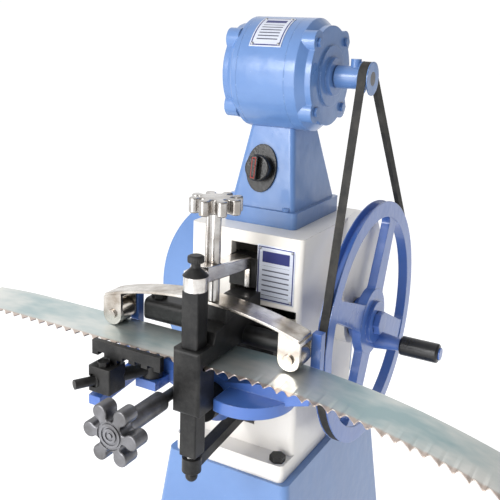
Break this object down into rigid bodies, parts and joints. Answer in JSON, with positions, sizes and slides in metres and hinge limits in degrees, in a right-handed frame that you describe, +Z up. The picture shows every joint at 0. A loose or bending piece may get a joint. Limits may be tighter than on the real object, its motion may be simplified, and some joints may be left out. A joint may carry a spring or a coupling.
{
  "type": "saw tooth setting machine",
  "caption": "Pedestal machine that sets band-saw teeth: motor and belt-driven flywheel, cream column, black setting head with rams, sprung rollers and a toothed blade lying across it",
  "frame": {"origin": "middle of the pedestal's foot, on the floor", "axes": "+Z up; -Y towards the operator, the way the teeth and the star knob face; +X towards the flywheel"},
  "size_m": [0.694, 0.5493, 1.1573],
  "materials": {
    "blue_paint": "glossy sky-blue enamel",
    "dark_blue_paint": "glossy mid-blue enamel on cast iron",
    "cream_paint": "semi-gloss cream enamel on cast iron",
    "black_casting": "satin black oxide on cast iron and steel",
    "polished_steel": "ground and polished bright steel",
    "grey_steel": "machined grey steel",
    "blade_steel": "band-saw steel with a faint teal tint",
    "belt_rubber": "black vee-belt rubber",
    "black_plastic": "black moulded plastic",
    "copper_winding": "laminated core with copper windings"
  },
  "bodies": {
    "frame": {"pedestal": "blue_paint", "column": "cream_paint", "foot_bolts": "black_casting", "bearing_housing": "cream_paint", "main_bearings": "grey_steel", "v_belt": "belt_rubber", "motor_shell": "blue_paint", "motor_drive_bell": "blue_paint", "motor_rear_bell": "blue_paint", "motor_stator": "copper_winding", "motor_bearings": "grey_steel", "motor_bolts": "grey_steel", "motor_stand": "blue_paint", "stand_bolts": "grey_steel", "switch_plate": "black_plastic", "rear_guard": "blue_paint", "setting_head": "black_casting", "small_bolts": "black_casting", "guide_rod": "polished_steel", "leaf_spring": "polished_steel", "leaf_saddle": "black_casting", "roller_forks": "polished_steel", "roller_pins": "grey_steel", "blade_table": "dark_blue_paint", "table_drum": "black_casting", "back_gauge": "black_casting", "feed_pin": "black_casting", "lower_lever_pin": "polished_steel", "upper_lever_pin": "grey_steel"},
    "drive": {"main_shaft": "grey_steel", "eccentrics": "grey_steel", "flywheel": "dark_blue_paint", "wheel_nut": "grey_steel", "crank_pin": "dark_blue_paint"},
    "grip": {"crank_grip": "black_plastic"},
    "rotor": {"motor_shaft": "grey_steel", "motor_rotor": "grey_steel", "motor_pulley": "blue_paint"},
    "switch": {"switch_knob": "black_plastic"},
    "upper_setter": {"vertical_slide": "black_casting", "ram_bar": "polished_steel", "upper_ram": "black_casting"},
    "thumb": {"thumb_screw": "black_casting"},
    "upper_lever": {"upper_lever": "black_casting"},
    "pressure": {"pressure_screw": "polished_steel", "pressure_knob": "polished_steel"},
    "left_roller": {"left_roller": "polished_steel"},
    "right_roller": {"right_roller": "polished_steel"},
    "depth": {"depth_screw": "grey_steel", "depth_knob": "grey_steel"},
    "feed": {"feed_arm": "black_casting", "feed_clamp": "black_casting", "feed_pawl": "black_casting", "clamp_bolt": "black_casting"},
    "lower_lever": {"lower_lever": "black_casting", "adjusting_screw": "black_casting", "lock_nut": "polished_steel"},
    "lower_ram": {"lower_ram": "black_casting"},
    "blade": {"saw_blade": "blade_steel"}
  },
  "joints": [
    {"name": "wheel_turn", "type": "hinge", "parent": "frame", "child": "drive", "pos_m": [0, 0.03015, 0.78], "axis": [1, 0, 0], "continuous": true},
    {"name": "grip_spin", "type": "hinge", "parent": "drive", "child": "grip", "pos_m": [0.17, 0.05015, 0.748], "axis": [1, 0, 0], "continuous": true},
    {"name": "motor_turn", "type": "hinge", "parent": "frame", "child": "rotor", "pos_m": [0, -0.03785, 1.0923], "axis": [1, 0, 0], "continuous": true},
    {"name": "switch_turn", "type": "hinge", "parent": "frame", "child": "switch", "pos_m": [-0.005, -0.06425, 0.98], "axis": [0, -0.9872, 0.1595], "range_deg": [0, 90]},
    {"name": "upper_ram_lift", "type": "slide", "parent": "frame", "child": "upper_setter", "axis": [0, 0, 1], "range_m": [0, 0.004]},
    {"name": "thumb_screw_turn", "type": "hinge", "parent": "upper_setter", "child": "thumb", "pos_m": [0.0065, -0.22735, 0.9], "axis": [0, 0, 1], "continuous": true},
    {"name": "upper_lever_swing", "type": "hinge", "parent": "frame", "child": "upper_lever", "pos_m": [-0.01, -0.04785, 0.852], "axis": [1, 0, 0], "range_deg": [-6.6, 0]},
    {"name": "pressure_knob_turn", "type": "hinge", "parent": "frame", "child": "pressure", "pos_m": [0.002, -0.18185, 0.95], "axis": [0, 0, 1], "continuous": true},
    {"name": "left_roller_spin", "type": "hinge", "parent": "frame", "child": "left_roller", "pos_m": [-0.134, -0.17385, 0.8052], "axis": [0, 1, 0], "continuous": true},
    {"name": "right_roller_spin", "type": "hinge", "parent": "frame", "child": "right_roller", "pos_m": [0.1, -0.17385, 0.8052], "axis": [0, 1, 0], "continuous": true},
    {"name": "depth_knob_turn", "type": "hinge", "parent": "frame", "child": "depth", "pos_m": [-0.019, -0.30985, 0.751], "axis": [0, 1, 0], "continuous": true},
    {"name": "feed_arm_swing", "type": "hinge", "parent": "frame", "child": "feed", "pos_m": [-0.07, -0.19585, 0.755], "axis": [0, 0, 1], "range_deg": [-2.5, 2.5]},
    {"name": "lower_lever_swing", "type": "hinge", "parent": "frame", "child": "lower_lever", "pos_m": [0.0065, -0.10385, 0.686], "axis": [1, 0, 0], "range_deg": [0, 1.85]},
    {"name": "lower_ram_slide", "type": "slide", "parent": "frame", "child": "lower_ram", "axis": [0, 0, 1], "range_m": [-0.004, 0]},
    {"name": "blade_feed", "type": "slide", "parent": "frame", "child": "blade", "axis": [1, 0, 0], "range_m": [-0.015, 0.015]}
  ],
  "couplings": [
    {"joint": "motor_turn", "follows": "wheel_turn", "ratio": 10.05},
    {"joint": "upper_lever_swing", "follows": "upper_ram_lift", "rad_per_m": -28.57},
    {"joint": "lower_ram_slide", "follows": "lower_lever_swing", "m_per_rad": -0.1235}
  ]
}
